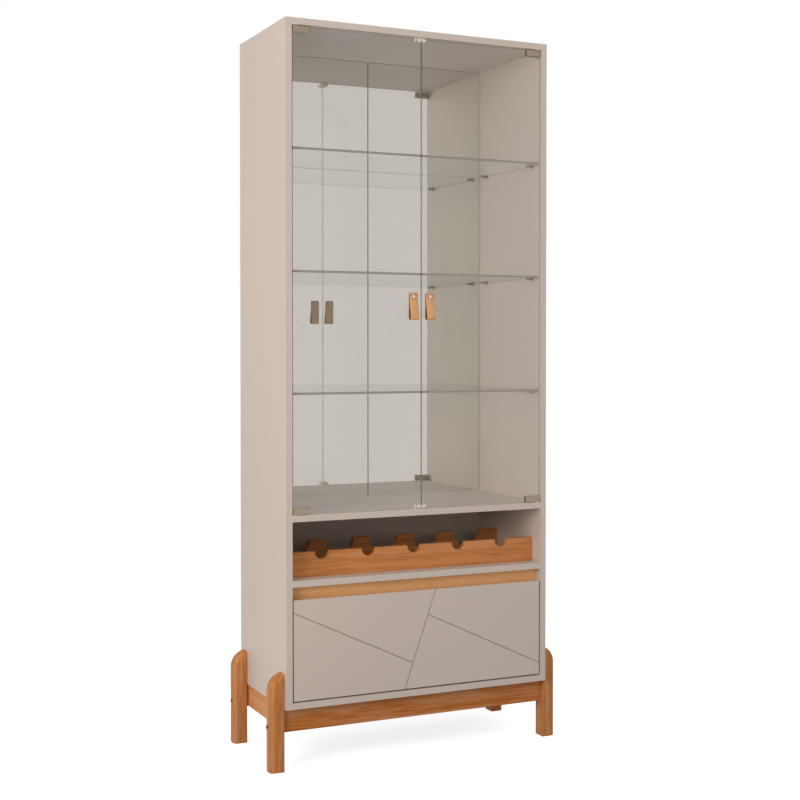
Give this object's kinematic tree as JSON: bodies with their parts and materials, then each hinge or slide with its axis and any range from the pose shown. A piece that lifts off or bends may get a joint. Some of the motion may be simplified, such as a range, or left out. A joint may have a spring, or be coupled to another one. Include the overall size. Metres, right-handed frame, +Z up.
{
  "type": "glass-door china cabinet",
  "caption": "Tall china cabinet on a wooden leg frame: frameless pivoting glass doors with leather pulls over glass shelves, an open bottle rack and a deep grooved drawer.",
  "frame": {"origin": "on the floor, under the middle of the cabinet's bounding box", "axes": "+X to the right seen from the front, +Y to the back, +Z up; doors and drawer face -Y"},
  "size_m": [0.8114, 0.3546, 1.834],
  "materials": {
    "lacquer": "warm greige satin lacquer sprayed on fibreboard",
    "timber": "reddish-brown hardwood, planed, fine straight grain, matte oil",
    "dowel_wood": "plain beech",
    "hardboard": "thin hardboard with a greige paper face",
    "mirror": "silvered float glass",
    "glass": "clear float glass with ground grey-green edges",
    "nickel": "satin nickel plate",
    "steel": "bright zinc-plated steel",
    "plastic": "off-white moulded plastic",
    "leather": "tan full-grain leather with raw cut edges"
  },
  "bodies": {
    "cabinet": {"side_panel_left": "lacquer", "side_panel_right": "lacquer", "top_panel": "lacquer", "display_floor": "lacquer", "niche_floor": "lacquer", "bottom_panel": "lacquer", "back_panel": "hardboard", "mirror_left": "mirror", "mirror_right": "mirror", "shelf_upper": "glass", "shelf_middle": "glass", "shelf_lower": "glass", "shelf_supports": "nickel", "pivot_bushes": "plastic", "magnet_catch_upper": "plastic", "magnet_catch_lower": "plastic", "rack_front": "timber", "rack_rear": "timber", "grip_rail": "timber", "leg_front_left": "timber", "leg_front_right": "timber", "leg_rear_left": "timber", "leg_rear_right": "timber", "apron_front": "timber", "apron_rear": "timber", "rail_left": "timber", "rail_right": "timber", "leg_bolts": "steel", "barrel_nuts": "steel", "slide_outer_left": "steel", "slide_outer_right": "steel", "panel_dowels": "dowel_wood", "cam_locks": "steel", "cam_bolts": "steel", "top_screws": "steel"},
    "door_left": {"door_glass_left": "glass", "hinge_clip_upper_left": "nickel", "hinge_clip_lower_left": "nickel", "clip_screws_left": "steel", "strike_clips_left": "steel", "pull_strap_left": "leather", "pull_rivet_left": "nickel"},
    "door_right": {"door_glass_right": "glass", "hinge_clip_upper_right": "nickel", "hinge_clip_lower_right": "nickel", "clip_screws_right": "steel", "strike_clips_right": "steel", "pull_strap_right": "leather", "pull_rivet_right": "nickel"},
    "middle_rails": {"slide_middle_left": "steel", "slide_middle_right": "steel"},
    "drawer": {"drawer_front": "lacquer", "drawer_side_left": "lacquer", "drawer_side_right": "lacquer", "drawer_back": "lacquer", "drawer_bottom": "hardboard", "slide_inner_left": "steel", "slide_inner_right": "steel"}
  },
  "joints": [
    {"name": "door_left_hinge", "type": "hinge", "parent": "cabinet", "child": "door_left", "pos_m": [-0.3395, -0.1637, 1.18], "axis": [0, 0, -1], "range_deg": [0, 110]},
    {"name": "door_right_hinge", "type": "hinge", "parent": "cabinet", "child": "door_right", "pos_m": [0.3395, -0.1637, 1.18], "axis": [0, 0, 1], "range_deg": [0, 110]},
    {"name": "drawer_slide", "type": "slide", "parent": "cabinet", "child": "drawer", "axis": [0, -1, 0], "range_m": [0, 0.28]},
    {"name": "middle_rails_slide", "type": "slide", "parent": "cabinet", "child": "middle_rails", "axis": [0, -1, 0], "range_m": [0, 0.14]}
  ],
  "couplings": [
    {"joint": "middle_rails_slide", "follows": "drawer_slide", "ratio": 0.5}
  ]
}
